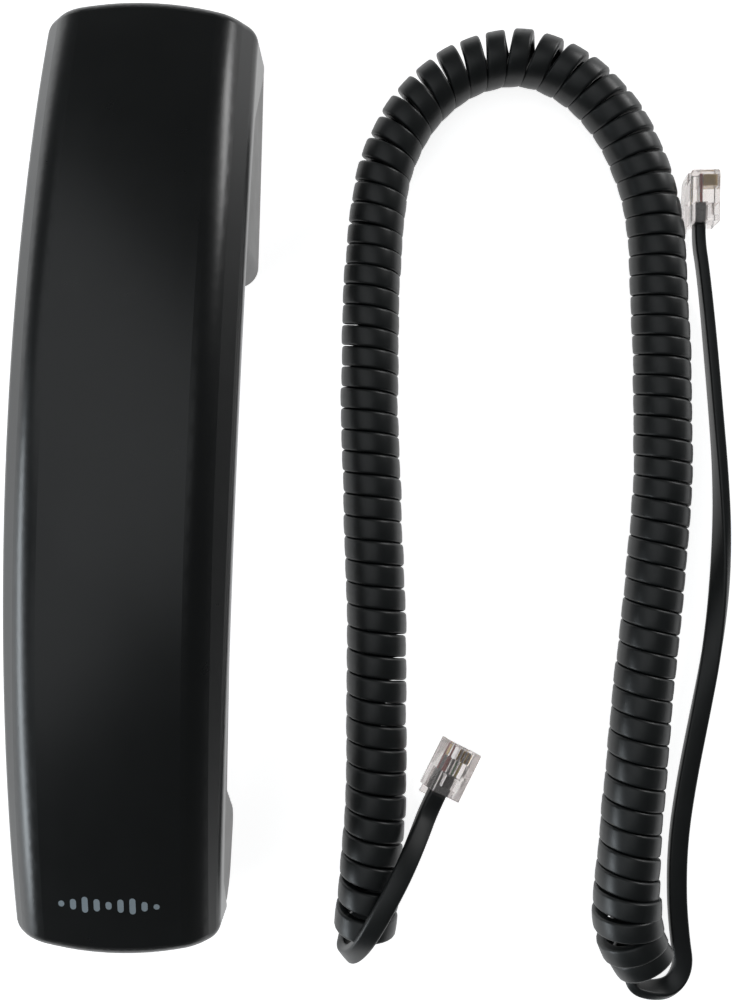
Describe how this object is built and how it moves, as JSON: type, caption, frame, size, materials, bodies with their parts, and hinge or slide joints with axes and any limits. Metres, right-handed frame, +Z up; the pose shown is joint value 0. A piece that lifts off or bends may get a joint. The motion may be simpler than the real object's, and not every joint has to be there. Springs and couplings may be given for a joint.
{
  "type": "telephone handset with coiled cord",
  "caption": "Arched desk telephone handset lying face down beside its unplugged coiled cord, which ends in a clear latching plug at each end.",
  "frame": {"origin": "the point of the table under the middle of the handset's footprint, with the cord left out", "axes": "+Y towards the earpiece end, +Z up through the arched back of the handset, +X from the handset towards the cord; the table is Z = 0"},
  "size_m": [0.1482, 0.2079, 0.0394],
  "materials": {
    "cover_black": "satin, fine moulded texture",
    "shell_grey": "satin, fine moulded texture",
    "cord_pvc": "smooth satin vinyl",
    "clear_plastic": "clear, polished",
    "gold": "plated, polished",
    "wire_insulation": "smooth",
    "black_moulding": "moulded",
    "soft_rubber": "soft, matt",
    "plain_steel": "rolled",
    "plated_steel": "zinc plated",
    "magnet_nickel": "nickel plated",
    "enamelled_copper": "enamelled",
    "film": "thin polyester film",
    "cloth": "fine weave",
    "board_green": "solder mask"
  },
  "bodies": {
    "handset": {"back_cover": "cover_black", "front_cover": "shell_grey", "screw_plugs": "soft_rubber", "housing_screws": "plated_steel", "receiver_gasket": "soft_rubber", "receiver_cloth": "cloth", "receiver_front_plate": "plain_steel", "receiver_frame": "black_moulding", "receiver_top_plate": "plain_steel", "receiver_magnet": "magnet_nickel", "receiver_yoke": "plain_steel", "receiver_terminals": "gold", "receiver_leads": "wire_insulation", "microphone_boot": "soft_rubber", "microphone_capsule": "plain_steel", "microphone_leads": "wire_insulation", "jack_housing": "black_moulding", "jack_contacts": "gold", "circuit_board": "board_green", "board_screw": "plated_steel", "ballast_bar": "plain_steel", "ballast_screws": "plated_steel", "coil_cord": "cord_pvc", "tail_a_cord": "cord_pvc", "tail_b_cord": "cord_pvc", "plug_a_body": "clear_plastic", "plug_a_contacts": "gold", "plug_a_wires": "wire_insulation", "plug_a_jacket_end": "cord_pvc", "plug_b_body": "clear_plastic", "plug_b_contacts": "gold", "plug_b_wires": "wire_insulation", "plug_b_jacket_end": "cord_pvc"},
    "receiver_cone": {"receiver_diaphragm": "film", "voice_coil": "enamelled_copper"},
    "plug_a_tongue": {"plug_a_latch": "clear_plastic"},
    "plug_b_tongue": {"plug_b_latch": "clear_plastic"}
  },
  "joints": [
    {"name": "diaphragm_travel", "type": "slide", "parent": "handset", "child": "receiver_cone", "axis": [0, 0, 1], "range_m": [-0.00025, 0.00025], "stiffness_N_per_m": 600},
    {"name": "plug_a_latch_press", "type": "hinge", "parent": "handset", "child": "plug_a_tongue", "pos_m": [0.1141, 0.06877, 0.00384], "axis": [-0.0697, -0.0018, 0.9976], "range_deg": [0, 2.5], "stiffness_Nm_per_rad": 0.05},
    {"name": "plug_b_latch_press", "type": "hinge", "parent": "handset", "child": "plug_b_tongue", "pos_m": [0.06804, -0.05608, 0.00174], "axis": [-0.8246, 0.4397, 0.3559], "range_deg": [0, 7], "stiffness_Nm_per_rad": 0.05}
  ]
}
